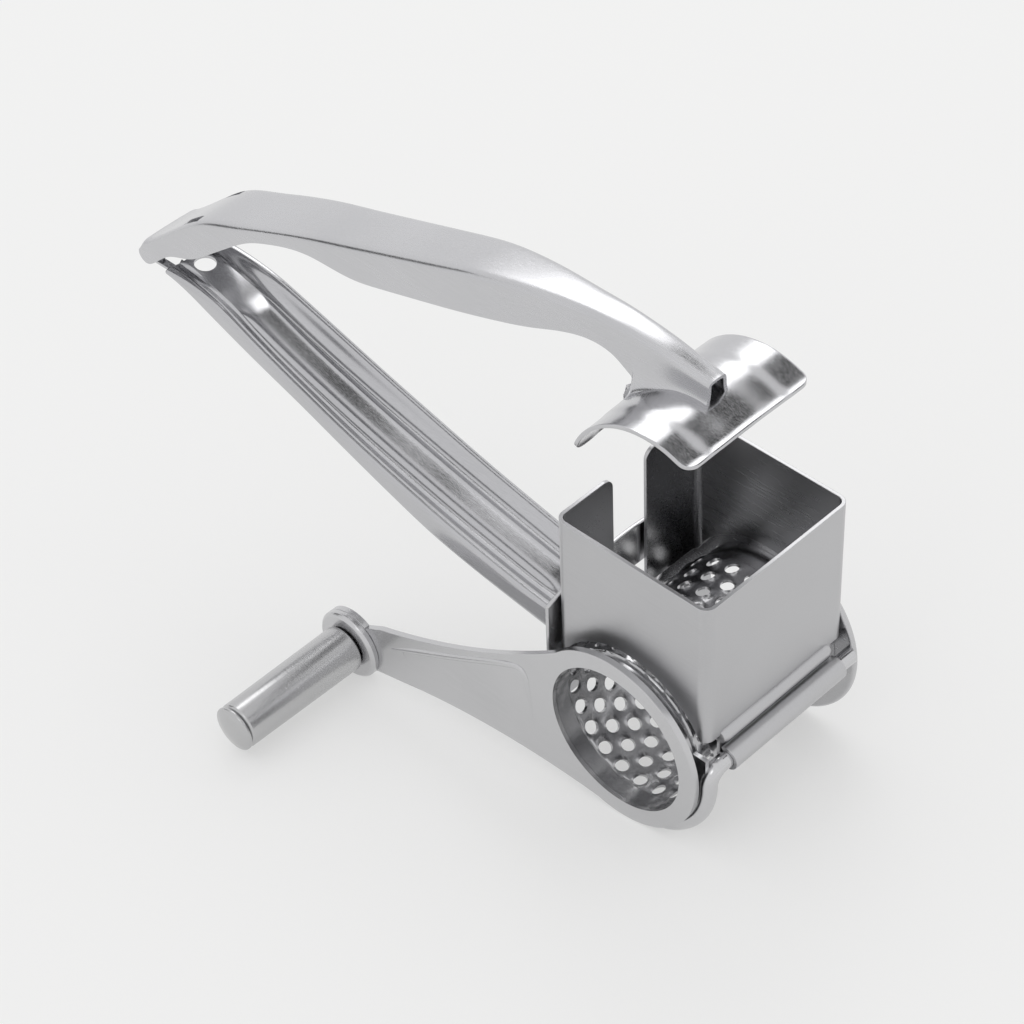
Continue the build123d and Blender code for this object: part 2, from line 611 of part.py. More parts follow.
with BuildPart() as press_arm:
    # side view of the whole arm
    with BuildSketch(Plane.XZ):
        with BuildLine():
            back = FilletPolyline((ramp_start.X, ramp_start.Z),
                                  (ramp_end.X, ramp_end.Z),
                                  (hinge_x + arm_rise_reach, arm_rise_height),
                                  (hinge_x + arm_crown_reach, arm_crown_height), radius=arm_crease)
            crown = ThreePointArc(back @ 1, (hinge_x + arm_top_reach, arm_top_height), (nose_x, arm_nose_height))
            belly = FilletPolyline(*ear_line, radius=arm_side_crease)
            Line(crown @ 1, belly @ 1)
            ThreePointArc(back @ 0, (ear_back.X, ear_back.Z), belly @ 0)
        make_face()
    extrude(amount=arm_half, both=True)
    # its width, seen from above
    with BuildSketch(Plane.XY):
        with BuildLine():
            outer = FilletPolyline(*arm_outline, radius=arm_plan_round)
            mirrored = FilletPolyline(*[(x, -y) for x, y in arm_outline], radius=arm_plan_round)
            Line(outer @ 0, mirrored @ 0)
            Line(outer @ 1, mirrored @ 1)
        make_face()
    extrude(amount=2 * arm_top_height, mode=Mode.INTERSECT)
    add(arm_hollow.part, mode=Mode.SUBTRACT)
    # seat of the presser
    with BuildSketch(press_plane):
        Circle(press_radius + sheet)
    extrude(amount=arm_half, both=True, mode=Mode.SUBTRACT)
    # slits that part the strap from the sides
    slit_width = arm_half - sheet - strap_width / 2
    with BuildSketch(Plane.XY):
        with Locations((hinge_x + slit_reach / 2 - eye_radius, (strap_width + slit_width) / 2),
                       (hinge_x + slit_reach / 2 - eye_radius, -(strap_width + slit_width) / 2)):
            Rectangle(slit_reach + 2 * eye_radius, slit_width)
    extrude(amount=2 * arm_top_height, mode=Mode.SUBTRACT)
    # strap's end, curled round the handle's roll
    with BuildSketch(Plane.XZ):
        with Locations((hinge_x, hinge_z)):
            Circle(eye_radius)
            Circle(eye_radius - sheet, mode=Mode.SUBTRACT)
        with BuildLine():
            mouth = [hinge + slope_out.rotate(Axis.Y, angle) * 3 * eye_radius for angle in (0, 360 - eye_wrap)]
            Polyline((hinge_x, hinge_z), (mouth[0].X, mouth[0].Z), (mouth[1].X, mouth[1].Z), close=True)
        make_face(mode=Mode.SUBTRACT)
    extrude(amount=strap_width / 2, both=True)
press_arm.part.label = "press_arm"
export_step(press_arm.part, "parts/press_arm.step")
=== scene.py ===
"""Looks of the rotary shredder: camera, studio, steel finishes and every pressed piece."""
from math import atan2, cos, hypot, pi, radians, sin, sqrt

import bmesh
import bpy
from mathutils import Matrix, Vector


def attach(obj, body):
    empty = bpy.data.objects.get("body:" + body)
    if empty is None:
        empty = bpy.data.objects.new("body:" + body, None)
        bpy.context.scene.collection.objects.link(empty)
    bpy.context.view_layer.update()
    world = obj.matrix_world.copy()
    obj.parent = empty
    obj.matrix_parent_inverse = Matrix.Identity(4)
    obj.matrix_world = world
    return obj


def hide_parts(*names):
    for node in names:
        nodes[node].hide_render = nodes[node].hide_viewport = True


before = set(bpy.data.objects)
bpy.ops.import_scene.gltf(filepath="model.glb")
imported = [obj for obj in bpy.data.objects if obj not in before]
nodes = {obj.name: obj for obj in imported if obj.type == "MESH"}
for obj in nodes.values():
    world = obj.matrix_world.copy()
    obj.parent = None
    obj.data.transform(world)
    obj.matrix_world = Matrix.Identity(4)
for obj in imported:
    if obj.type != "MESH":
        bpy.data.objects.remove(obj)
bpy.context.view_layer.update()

# ------------------------------------------------------------------ camera
# It looks down on the crank side from the front, through a long lens, as the photographer did.
camera_place = Vector((0.3417, -0.3946, 0.5450))
camera_forward = Vector((-0.5210, 0.5086, -0.6855)).normalized()
camera_right = Vector((0.7204, 0.6928, -0.0335)).normalized()
camera_up = camera_right.cross(camera_forward)
camera_data = bpy.data.cameras.new("camera")
camera_data.lens = 109.65
camera_data.sensor_width = 36
camera_data.clip_end = 20
camera = bpy.data.objects.new("camera", camera_data)
camera_turn = Matrix((camera_right, camera_up, -camera_forward)).transposed().to_4x4()
camera.matrix_world = Matrix.Translation(camera_place) @ camera_turn
bpy.context.scene.collection.objects.link(camera)
bpy.context.scene.camera = camera
bpy.context.scene.view_settings.view_transform = "Standard"


# ------------------------------------------------------------------ table and studio
# A pale seamless table under soft light. The tool rests on its boss, its crank's ring and its
# far disc, so the table lies a little tilted to the tool's own axes.
def new_material(name):
    """A node material with its node tree and its shader at hand."""
    material = bpy.data.materials.new(name)
    material.use_nodes = True
    return material, material.node_tree, material.node_tree.nodes["Principled BSDF"]


table_points = [Vector((-0.0908, -0.0310, -0.0399)), Vector((0.0040, -0.0300, -0.0249)),
                Vector((0.0044, 0.0262, -0.0271))]
table_edges = [point - table_points[0] for point in table_points[1:]]
table_normal = table_edges[0].cross(table_edges[1]).normalized()
table_turn = table_normal.to_track_quat("Z", "Y").to_matrix().to_4x4()
table_mesh = bmesh.new()
bmesh.ops.create_grid(table_mesh, x_segments=1, y_segments=1, size=4.0)
table_place = Matrix.Translation(table_points[1]) @ table_turn
bmesh.ops.transform(table_mesh, matrix=table_place, verts=table_mesh.verts)
table_data = bpy.data.meshes.new("table")
table_mesh.to_mesh(table_data)
table_mesh.free()
table = bpy.data.objects.new("table", table_data)
bpy.context.scene.collection.objects.link(table)

paper, paper_tree, paper_shader = new_material("table_paper")
paper_shader.inputs["Base Color"].default_value = (0.90, 0.90, 0.895, 1)
paper_shader.inputs["Roughness"].default_value = 0.9
paper_shader.inputs["Specular IOR Level"].default_value = 0.0
# The eye and the steel's mirror see the paper half lit from within, so it stays pale to its edges.
ray = paper_tree.nodes.new("ShaderNodeLightPath")
seen = paper_tree.nodes.new("ShaderNodeMath")
seen.operation = "MAXIMUM"
paper_tree.links.new(ray.outputs["Is Camera Ray"], seen.inputs[0])
paper_tree.links.new(ray.outputs["Is Glossy Ray"], seen.inputs[1])
seen_too = paper_tree.nodes.new("ShaderNodeMath")
seen_too.operation = "MAXIMUM"
paper_tree.links.new(seen.outputs["Value"], seen_too.inputs[0])
paper_tree.links.new(ray.outputs["Is Transmission Ray"], seen_too.inputs[1])
share = paper_tree.nodes.new("ShaderNodeMath")
share.operation = "MULTIPLY"
share.inputs[1].default_value = 0.5
paper_tree.links.new(seen_too.outputs["Value"], share.inputs[0])
glow = paper_tree.nodes.new("ShaderNodeEmission")
glow.inputs["Color"].default_value = (0.885, 0.885, 0.88, 1)
blend = paper_tree.nodes.new("ShaderNodeMixShader")
paper_tree.links.new(share.outputs["Value"], blend.inputs["Fac"])
paper_tree.links.new(paper_shader.outputs["BSDF"], blend.inputs[1])
paper_tree.links.new(glow.outputs["Emission"], blend.inputs[2])
paper_tree.links.new(blend.outputs["Shader"], paper_tree.nodes["Material Output"].inputs["Surface"])
table.data.materials.append(paper)

studio = bpy.data.worlds.new("studio")
bpy.context.scene.world = studio
studio.use_nodes = True
studio_light = studio.node_tree.nodes["Background"]
studio_light.inputs["Color"].default_value = (0.87, 0.87, 0.875, 1)
studio_light.inputs["Strength"].default_value = 1.0


def softbox(name, place, size, power):
    """A square studio lamp that faces the tool."""
    lamp_data = bpy.data.lights.new(name, "AREA")
    lamp_data.size = size
    lamp_data.energy = power
    lamp = bpy.data.objects.new(name, lamp_data)
    lamp.location = place
    lamp.rotation_euler = (Vector((-0.05, 0, 0.02)) - Vector(place)).to_track_quat("-Z", "Y").to_euler()
    bpy.context.scene.collection.objects.link(lamp)


softbox("lamp_back", (-0.85, 0.80, 1.05), 0.7, 2.4)
softbox("lamp_front", (0.2, -1.2, 1.2), 0.5, 0.8)


def dark_card(name, place, width, height):
    """A dark card outside the picture, which the steel alone mirrors."""
    mesh = bmesh.new()
    bmesh.ops.create_grid(mesh, x_segments=1, y_segments=1, size=0.5)
    bmesh.ops.scale(mesh, vec=(width, height, 1), verts=mesh.verts)
    turn = (Vector((-0.05, 0, 0.03)) - Vector(place)).to_track_quat("Z", "Y").to_matrix().to_4x4()
    bmesh.ops.transform(mesh, matrix=Matrix.Translation(place) @ turn, verts=mesh.verts)
    data = bpy.data.meshes.new(name)
    mesh.to_mesh(data)
    mesh.free()
    card = bpy.data.objects.new(name, data)
    bpy.context.scene.collection.objects.link(card)
    card.visible_camera = False
    card.visible_diffuse = False
    card.visible_shadow = False
    velvet, _, velvet_shader = new_material(name + "_velvet")
    velvet_shader.inputs["Base Color"].default_value = (0.04, 0.04, 0.04, 1)
    velvet_shader.inputs["Roughness"].default_value = 1.0
    velvet_shader.inputs["Specular IOR Level"].default_value = 0.0
    data.materials.append(velvet)


dark_card("card_above", (-0.10, 0.62, 1.00), 0.55, 0.26)
dark_card("card_low", (-0.9, -0.35, 0.30), 0.25, 0.5)


# ------------------------------------------------------------------ lower handle
# The fixed handle: one stainless blank pressed into a channel, with a rounded bead along each
# edge, skirts folded down outside and a long rib in its sunk floor. It is welded to the yoke.
mm = 0.001
hinge = Vector((-185.5, 0, 35.5))


def steel(name, colour, roughness, turn=(0, 0, 0), stretch=12.0, haze=0.045, bump=0.02):
    """Stainless sheet: fine grain along X, once turned, with faint cloudy wear over it."""
    material, tree, shader = new_material(name)
    shader.inputs["Metallic"].default_value = 1.0
    place = tree.nodes.new("ShaderNodeTexCoord")
    lay = tree.nodes.new("ShaderNodeMapping")
    lay.inputs["Rotation"].default_value = turn
    lay.inputs["Scale"].default_value = (1 / stretch, 1, 1)
    tree.links.new(place.outputs["Object"], lay.inputs["Vector"])
    grain = tree.nodes.new("ShaderNodeTexNoise")
    grain.inputs["Scale"].default_value = 3200
    grain.inputs["Detail"].default_value = 4
    tree.links.new(lay.outputs["Vector"], grain.inputs["Vector"])
    clouds = tree.nodes.new("ShaderNodeTexNoise")
    clouds.inputs["Scale"].default_value = 38
    clouds.inputs["Detail"].default_value = 3
    clouds.inputs["Roughness"].default_value = 0.45
    tree.links.new(place.outputs["Object"], clouds.inputs["Vector"])
    both = tree.nodes.new("ShaderNodeMath")
    both.operation = "MULTIPLY_ADD"
    both.inputs[1].default_value = 0.55
    tree.links.new(grain.outputs["Fac"], both.inputs[0])
    half = tree.nodes.new("ShaderNodeMath")
    half.operation = "MULTIPLY"
    half.inputs[1].default_value = 0.45
    tree.links.new(clouds.outputs["Fac"], half.inputs[0])
    tree.links.new(half.outputs["Value"], both.inputs[2])
    gloss = tree.nodes.new("ShaderNodeMapRange")
    gloss.inputs["From Min"].default_value = 0.35
    gloss.inputs["From Max"].default_value = 0.65
    gloss.inputs["To Min"].default_value = roughness - haze
    gloss.inputs["To Max"].default_value = roughness + haze
    tree.links.new(both.outputs["Value"], gloss.inputs["Value"])
    tree.links.new(gloss.outputs["Result"], shader.inputs["Roughness"])
    tint = tree.nodes.new("ShaderNodeValToRGB")
    tint.color_ramp.elements[0].position = 0.32
    tint.color_ramp.elements[0].color = (*[c * 0.95 for c in colour], 1)
    tint.color_ramp.elements[1].position = 0.68
    tint.color_ramp.elements[1].color = (*[c * 1.04 for c in colour], 1)
    tree.links.new(both.outputs["Value"], tint.inputs["Fac"])
    tree.links.new(tint.outputs["Color"], shader.inputs["Base Color"])
    dent = tree.nodes.new("ShaderNodeBump")
    dent.inputs["Strength"].default_value = bump
    dent.inputs["Distance"].default_value = 0.0002
    tree.links.new(grain.outputs["Fac"], dent.inputs["Height"])
    tree.links.new(dent.outputs["Normal"], shader.inputs["Normal"])
    return material


handle_steel = steel("handle_steel", (0.55, 0.55, 0.565), 0.20, turn=(0, radians(-14), 0), stretch=40,
                     bump=0.01)


def along(line, x, soft):
    """Height of a line of (x, z) points at x, with its corners eased over a length of soft."""
    total = 0
    for step in range(-3, 4):
        at = min(max(x + step * soft / 3, line[0][0]), line[-1][0])
        for (x0, z0), (x1, z1) in zip(line, line[1:]):
            if at <= x1:
                total += z0 + (z1 - z0) * (at - x0) / (x1 - x0)
                break
    return total / 7


def extruded(mesh, edges):
    """Extrudes a line of edges, and gives the new vertices and the new outer edges."""
    made = bmesh.ops.extrude_edge_only(mesh, edges=edges)["geom"]
    fresh = [part for part in made if isinstance(part, bmesh.types.BMVert)]
    outer = [part for part in made if isinstance(part, bmesh.types.BMEdge) and set(part.verts) <= set(fresh)]
    return fresh, outer


def sweep(stations, section):
    """A sheet: its section is drawn at the first station, and its edge extruded from one to the next."""
    mesh = bmesh.new()
    edge_line = [mesh.verts.new(Vector(co) * mm) for co in section(stations[0])]
    edges = [mesh.edges.new(pair) for pair in zip(edge_line, edge_line[1:])]
    for station in stations[1:]:
        fresh, edges = extruded(mesh, edges)
        edge_line = [next(edge.other_vert(vertex) for edge in vertex.link_edges
                          if edge.other_vert(vertex) in fresh) for vertex in edge_line]
        for vertex, co in zip(edge_line, section(station)):
            vertex.co = Vector(co) * mm
    return mesh


def make_piece(mesh, name, material, body, replaced=(), wall=0.0, levels=0, round_edge=0.0, cutters=(),
               outward=None, even=False, even_wall=True):
    """Turns a bmesh into a finished piece that rides on a body."""
    bmesh.ops.recalc_face_normals(mesh, faces=mesh.faces)
    if outward:
        mesh.faces.ensure_lookup_table()
        spot, way = outward
        nearest = min(mesh.faces, key=lambda face: (face.calc_center_median() - Vector(spot) * mm).length)
        if nearest.normal.dot(Vector(way)) < 0:
            bmesh.ops.reverse_faces(mesh, faces=mesh.faces)
    data = bpy.data.meshes.new(name)
    mesh.to_mesh(data)
    mesh.free()
    piece = bpy.data.objects.new(name, data)
    bpy.context.scene.collection.objects.link(piece)
    data.materials.append(material)
    data.shade_smooth()
    if levels:
        smoother = piece.modifiers.new("smoother", "SUBSURF")
        smoother.levels = smoother.render_levels = levels
    if wall:
        thickness = piece.modifiers.new("thickness", "SOLIDIFY")
        thickness.thickness = wall * mm
        thickness.offset = -1
        thickness.use_even_offset = even_wall
    for cutter in cutters:
        hole = piece.modifiers.new("hole", "BOOLEAN")
        hole.operation = "DIFFERENCE"
        hole.solver = "EXACT"
        hole.object = cutter
    if round_edge:
        rounding = piece.modifiers.new("rounding", "BEVEL")
        rounding.width = round_edge * mm
        rounding.segments = 2
        rounding.limit_method = "ANGLE"
        rounding.angle_limit = radians(40)
    if piece.modifiers:
        shaped = piece.evaluated_get(bpy.context.evaluated_depsgraph_get())
        finished = bpy.data.meshes.new_from_object(shaped)
        piece.modifiers.clear()
        piece.data = finished
    for cutter in cutters:
        bpy.data.objects.remove(cutter)
    piece.data.set_sharp_from_angle(angle=radians(42))
    if even:
        leaning = piece.modifiers.new("even_faces", "WEIGHTED_NORMAL")
        leaning.keep_sharp = True
    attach(piece, body)
    if replaced:
        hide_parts(*replaced)
    return piece


def cutter_block(size, place, turn=None):
    """A block that cuts a slot."""
    mesh = bmesh.new()
    bmesh.ops.create_cube(mesh, size=1)
    bmesh.ops.scale(mesh, vec=Vector(size) * mm, verts=mesh.verts)
    if turn:
        bmesh.ops.rotate(mesh, matrix=turn, verts=mesh.verts)
    bmesh.ops.translate(mesh, vec=Vector(place) * mm, verts=mesh.verts)
    return cutter_object(mesh)


def cutter_object(mesh):
    """Puts a cutter's mesh in the scene until its piece is finished."""
    data = bpy.data.meshes.new("cutter")
    mesh.to_mesh(data)
    mesh.free()
    cutter = bpy.data.objects.new("cutter", data)
    bpy.context.scene.collection.objects.link(cutter)
    return cutter


def both_sides(half):
    """A section from one side's outer edge to the middle, carried over to the other side."""
    return half + [(x, -y, z) for x, y, z in reversed(half[:-1])]


yoke_back = -25.4
bead_line = [(-178, 34.4), (-162, 34.9), (-140, 27.3), (-112, 18.4), (-80, 10.0), (-50, 4.2),
             (yoke_back, 0.6)]
floor_line = [(-178, 34.1), (-162, 31.6), (-140, 22.8), (-112, 14.6), (-80, 7.0), (-50, 1.4),
              (yoke_back, -2.2)]
channel_plan = [(-178, 9.9), (-165, 10), (-145, 11.1), (-105, 11.9), (-60, 11.9), (yoke_back, 11.2)]
skirt_line = [(-178, 33.6), (-173, 33.0), (-161, 28.8), (-128.5, 19.4), (-78, 2.4), (yoke_back, -5.9)]
rib_line = [(-178, 0), (-156, 0), (-152.5, 1.1), (-46, 1.1), (-42, 0), (yoke_back, 0)]


def handle_section(x):
    """The handle's section at x: skirt, bead, sunk floor and rib, on both sides of the middle."""
    bead = along(bead_line, x, 9)
    floor = min(along(floor_line, x, 9), bead - 0.25)
    skirt = min(along(skirt_line, x, 5), bead - 0.8)
    rib = along(rib_line, x, 1.5)
    deep = bead - floor
    flat = min(1.0, deep / 2.0)
    w = along(channel_plan, x, 10)
    return both_sides([(x, w, skirt), (x, w, (skirt + bead) / 2), (x, w - 0.05, bead - 1.3 * flat),
                       (x, w - 0.5, bead - 0.05), (x, w - 1.6, bead + 0.02), (x, w - 2.6, bead - 0.3 * flat),
                       (x, w - 3.5, bead - 0.55 * deep), (x, w - 4.7, floor + 0.1 * deep),
                       (x, w - 6.2, floor), (x, 4.4, floor + rib * 0.25), (x, 3.3, floor + rib),
                       (x, 0, floor + rib)])


handle_stations = [-178, -177, -174.5, -171, -167, -163, -159, -156, -153.5, -151, -147, -142, -137, -131,
                   -124, -117, -110, -102, -92, -80, -68, -56, -49, -46, -42, -34, -27, yoke_back]
hang_slope = 2.4 / 17
hang_cutter = bmesh.new()
hang_radius = 3 * mm
bmesh.ops.create_cone(hang_cutter, cap_ends=True, segments=40, radius1=hang_radius, radius2=hang_radius,
                      depth=8 * mm)
bmesh.ops.rotate(hang_cutter, matrix=Matrix.Rotation(atan2(hang_slope, 1), 3, "Y"), verts=hang_cutter.verts)
bmesh.ops.translate(hang_cutter, vec=Vector((-173.5, 0, 33.2)) * mm, verts=hang_cutter.verts)
make_piece(sweep(handle_stations, handle_section), "handle_channel", handle_steel, "frame",
           ("lower_handle",), wall=1.0, levels=2, round_edge=0.12, cutters=[cutter_object(hang_cutter)],
           outward=((-80, 0, 10), (0, 0, 1)), even_wall=False)


# ------------------------------------------------------------------ handle's rolled end
# The channel's last tab, rolled into a round bar at the rear. The press arm's strap is curled
# round it and turns on it.
roll = bmesh.new()
roll_radius = 2.2 * mm
bmesh.ops.create_cone(roll, cap_ends=True, segments=40, radius1=roll_radius, radius2=roll_radius,
                      depth=17.4 * mm)
bmesh.ops.rotate(roll, matrix=Matrix.Rotation(pi / 2, 3, "X"), verts=roll.verts)
bmesh.ops.translate(roll, vec=hinge * mm, verts=roll.verts)
for side in (-1, 1):
    tab = bmesh.ops.create_cube(roll, size=1)["verts"]
    bmesh.ops.scale(roll, vec=Vector((8.2, 2.3, 1)) * mm, verts=tab)
    bmesh.ops.translate(roll, vec=Vector((-181.5, side * 7.55, 33.8)) * mm, verts=tab)
make_piece(roll, "handle_roll", handle_steel, "frame", round_edge=0.2)


# ------------------------------------------------------------------ press arm
# The moving handle: one sheet folded down along both sides into an upturned channel with soft
# shoulders, drawn in to a narrow neck over the presser.
arm_steel = steel("arm_steel", (0.60, 0.60, 0.615), 0.25, turn=(0, radians(-20), 0), stretch=40, bump=0.01)
strap_outer = 3.26
ear_radius = 2.9
slope = radians(40)
slope_dir = Vector((cos(slope), 0, sin(slope)))
slope_out = Vector((-sin(slope), 0, cos(slope)))
arm_back = [(-187.6, 38.0), (-163.1, 58.55), (-125, 73.4), (-65, 93.3), (-45, 97.0), (-25, 98.6), (-10, 97.7),
            (4, 95.0)]
arm_belly = [(-183.4, 33.0), (-176, 41.0), (-167, 43.2), (-142.5, 62.6), (-123, 70.0), (-105, 69.6),
             (-55, 83.3), (-47, 85.4), (-40, 88.4), (-33, 90.4), (-26, 90.6), (-21, 88.6), (-17.5, 84.6),
             (4, 84.6)]
arm_plan = [(-200, 9.9), (-150, 9.9), (-85.5, 8.7), (-60, 8.3), (-34, 4.7), (-10, 3.7), (4, 2.8)]
closing = radians(20)
closed_dir = Vector((cos(closing), 0, sin(closing)))
closed_up = Vector((-sin(closing), 0, cos(closing)))
press_center = Vector((0.95, 0, 65.58))
presser_radius = 24.2


def presser_top(x):
    """Height at x of the presser's curve, a little under its outer face, where the neck is seated."""
    return press_center.z + sqrt(max((presser_radius - 0.3) ** 2 - (x - press_center.x) ** 2, 0))


def arm_section(x):
    """The press arm's section at x: sides folded down from a soft-shouldered back."""
    back = along(arm_back, x, 5)
    belly = along(arm_belly, x, 3)
    if x < -182:
        round_end = sqrt(max(ear_radius ** 2 - (x - hinge.x) ** 2, 0.0))
        belly = hinge.z - round_end
        back = min(back, hinge.z + max(round_end, 0.2)) if x < -187.6 else back
    wide = along(arm_plan, x, 14)
    flare = 0.0
    if x > -17.2:
        belly = presser_top(x)
        flare = 1.2 + 3.4 * max(0.0, (-x - 4) / 13) ** 1.5
    side = back - belly
    turn = min(2.4, wide * 0.45, side * 0.4)
    return both_sides([(x, wide + flare, belly), (x, wide + flare * 0.3, belly + min(0.9, side * 0.12)),
                       (x, wide, belly + side * 0.45), (x, wide, back - turn),
                       (x, wide - turn * 0.12, back - turn * 0.45),
                       (x, wide - turn * 0.5, back - turn * 0.08), (x, wide - turn, back + 0.02),
                       (x, wide * 0.35, back + 0.12), (x, 0, back + 0.15)])


arm_stations = [-188.3, -187.8, -186.8, -185.5, -183.5, -180, -176, -171, -167, -163, -159, -154, -148, -142,
                -135, -128, -120, -112, -104, -96, -88, -80, -72, -65, -58, -52, -46, -40, -34, -30, -27, -24,
                -22, -20, -18.5, -17.3, -17, -16, -14, -11, -8, -4, 0, 4]
arm_cutters = [cutter_block((19, 17.8, 40), (hinge.x + 3.6, 0, 42))]
for side in (-1, 1):
    slit_at = hinge + slope_out * strap_outer + slope_dir * 27.5
    arm_cutters.append(cutter_block((7, 2.6, 3), slit_at + Vector((0, side * 7.2, 0)),
                                    Matrix.Rotation(-slope, 3, "Y")))
make_piece(sweep(arm_stations, arm_section), "press_arm_channel", arm_steel, "press", ("press_arm",),
           wall=1.0, levels=2, round_edge=0.12, cutters=arm_cutters, outward=((-90, 0, 85), (0, 0, 1)))


# ------------------------------------------------------------------ strap of the press arm
# The tongue left between two slits at the arm's rear end, curled once round the handle's
# rolled end.
def strap_section(step):
    """The strap's line across: straight before the hinge (step < 0), then step degrees round it."""
    if step < 0:
        middle = hinge + slope_out * strap_outer + slope_dir * -step
    else:
        angle = radians(step)
        middle = hinge + (slope_out * cos(angle) - slope_dir * sin(angle)) * strap_outer
    return [middle + Vector((0, y, 0)) for y in (-6, -5.5, 0, 5.5, 6)]


make_piece(sweep([-18.6, -12, -6, -2] + list(range(0, 281, 14)), strap_section), "press_arm_strap", arm_steel,
           "press", wall=1.0, round_edge=0.15, outward=((-189, 0, 35.5), (-1, 0, 0)))


# ------------------------------------------------------------------ presser
# The curved plate on the arm's neck: one sheet bent to the drum's curve, with a flat lip in
# front, rounded corners and a shallow step where it was struck beside the neck.
presser_steel = steel("presser_steel", (0.58, 0.58, 0.595), 0.19, turn=(0, 0, radians(90)), stretch=6,
                      haze=0.06)
arc_long = radians(95) * presser_radius
plate_long = arc_long + 4.2
plate_wide = 41.4
presser = bmesh.new()
bmesh.ops.create_grid(presser, x_segments=48, y_segments=40, size=0.5)
bmesh.ops.scale(presser, vec=(plate_long, plate_wide, 1), verts=presser.verts)
corner = 3.2
for vertex in presser.verts:
    u = (abs(vertex.co.x) - plate_long / 2 + corner) / corner
    v = (abs(vertex.co.y) - plate_wide / 2 + corner) / corner
    if u > 0 and v > 0:
        long_way = plate_long / 2 - corner + corner * u * sqrt(1 - v * v / 2)
        wide_way = plate_wide / 2 - corner + corner * v * sqrt(1 - u * u / 2)
        vertex.co.x = long_way if vertex.co.x > 0 else -long_way
        vertex.co.y = wide_way if vertex.co.y > 0 else -wide_way
for vertex in presser.verts:
    run = vertex.co.x + plate_long / 2
    y = vertex.co.y + 0.7
    angle = radians(-54) + min(run, arc_long) / presser_radius
    swell = 0.35 / (1 + (abs(y) / 6.5) ** 4) - 0.3 / (1 + 2.718 ** (-(abs(y) - 13) * 1.8))
    spot = Vector((sin(angle), 0, cos(angle))) * (presser_radius + swell - 0.05)
    beyond = run - arc_long
    while beyond > 0:
        piece_run = min(beyond, 0.4)
        lean = radians(41 - 5.5 * (run - arc_long - beyond + piece_run / 2))
        spot += Vector((cos(lean), 0, -sin(lean))) * piece_run
        beyond -= piece_run
    vertex.co = (press_center + closed_dir * spot.x + closed_up * spot.z + Vector((0, y, 0))) * mm
make_piece(presser, "presser_plate", presser_steel, "press", ("presser_saddle",), wall=1.0, levels=1,
           round_edge=0.25, outward=((0, 12, 89), (0, 0, 1)))


# ------------------------------------------------------------------ drum
# The shredding drum: a stainless tube pierced all over with round holes, each with one edge
# raised to cut. Its two ends are drawn in to turn in the cradle.
drum_steel = steel("satin_drum_steel", (0.50, 0.50, 0.51), 0.2, stretch=4, haze=0.06)
drum_radius = 21.8
hole_radius = 1.9
holes_round = 22
hole_rows = 8
cell_wide = 360 / holes_round
cell_long = 5.25
first_edge = -24.6
# one hole with its raised lip, in a flat oblong cell
tile = bmesh.new()
bmesh.ops.create_circle(tile, cap_ends=False, segments=16, radius=hole_radius)
rings = [list(tile.verts)]
edges = list(tile.edges)
for grow in (1.28, 1.2):
    fresh, edges = extruded(tile, edges)
    for vertex in fresh:
        vertex.co = vertex.co * grow
    rings.append(fresh)
for vertex in rings[0]:
    way = atan2(vertex.co.y, vertex.co.x)
    vertex.co.z = 0.5 * max(0.0, cos(way)) ** 1.2 - 0.12 * max(0.0, -cos(way))
for vertex in rings[1]:
    way = atan2(vertex.co.y, vertex.co.x)
    vertex.co.z = 0.12 * max(0.0, cos(way))
half_wide = radians(cell_wide) * drum_radius / 2
cell_outline = [(1, 0), (1, .5), (1, 1), (.5, 1), (0, 1), (-.5, 1), (-1, 1), (-1, .5),
                (-1, 0), (-1, -.5), (-1, -1), (-.5, -1), (0, -1), (.5, -1), (1, -1), (1, -.5)]
for vertex in rings[2]:
    way = atan2(vertex.co.y, vertex.co.x)
    across, lengthwise = cell_outline[round(way / (pi / 8)) % 16]
    vertex.co = Vector((across * half_wide, lengthwise * cell_long / 2, 0))
tile_data = bpy.data.meshes.new("tile")
tile.to_mesh(tile_data)
tile.free()
# the cells laid out in staggered rows, and wrapped round the drum's axis
drum = bmesh.new()
for row in range(hole_rows):
    for hole in range(holes_round):
        before = len(drum.verts)
        drum.from_mesh(tile_data)
        drum.verts.ensure_lookup_table()
        place = ((2 * hole + row % 2) * half_wide, first_edge + (row + 0.5) * cell_long, 0)
        bmesh.ops.translate(drum, vec=place, verts=drum.verts[before:])
bpy.data.meshes.remove(tile_data)
for vertex in drum.verts:
    angle = vertex.co.x / drum_radius
    radius = drum_radius + vertex.co.z
    vertex.co = Vector((radius * sin(angle), vertex.co.y, radius * cos(angle)))
bmesh.ops.remove_doubles(drum, verts=drum.verts, dist=0.02)
far_edge = first_edge + hole_rows * cell_long
# both ends carried on and drawn in to the journals, as (radius, y) from step to step
for start, ends in ((first_edge, ((21.4, -25.0), (21.0, -25.4), (21.0, -29.3))),
                    (far_edge, ((drum_radius, 18.0), (21.4, 18.4), (21.0, 18.8), (21.0, 26.8)))):
    edges = [edge for edge in drum.edges if edge.is_boundary
             and all(abs(vertex.co.y - start) < 0.05 for vertex in edge.verts)]
    for radius, y in ends:
        fresh, edges = extruded(drum, edges)
        for vertex in fresh:
            grow = radius / hypot(vertex.co.x, vertex.co.z)
            vertex.co = Vector((vertex.co.x * grow, y, vertex.co.z * grow))
bmesh.ops.scale(drum, vec=(mm, mm, mm), verts=drum.verts)
make_piece(drum, "drum_shell", drum_steel, "drum", ("drum_barrel",), wall=0.8,
           outward=((21, 22, 0), (1, 0, 0)))


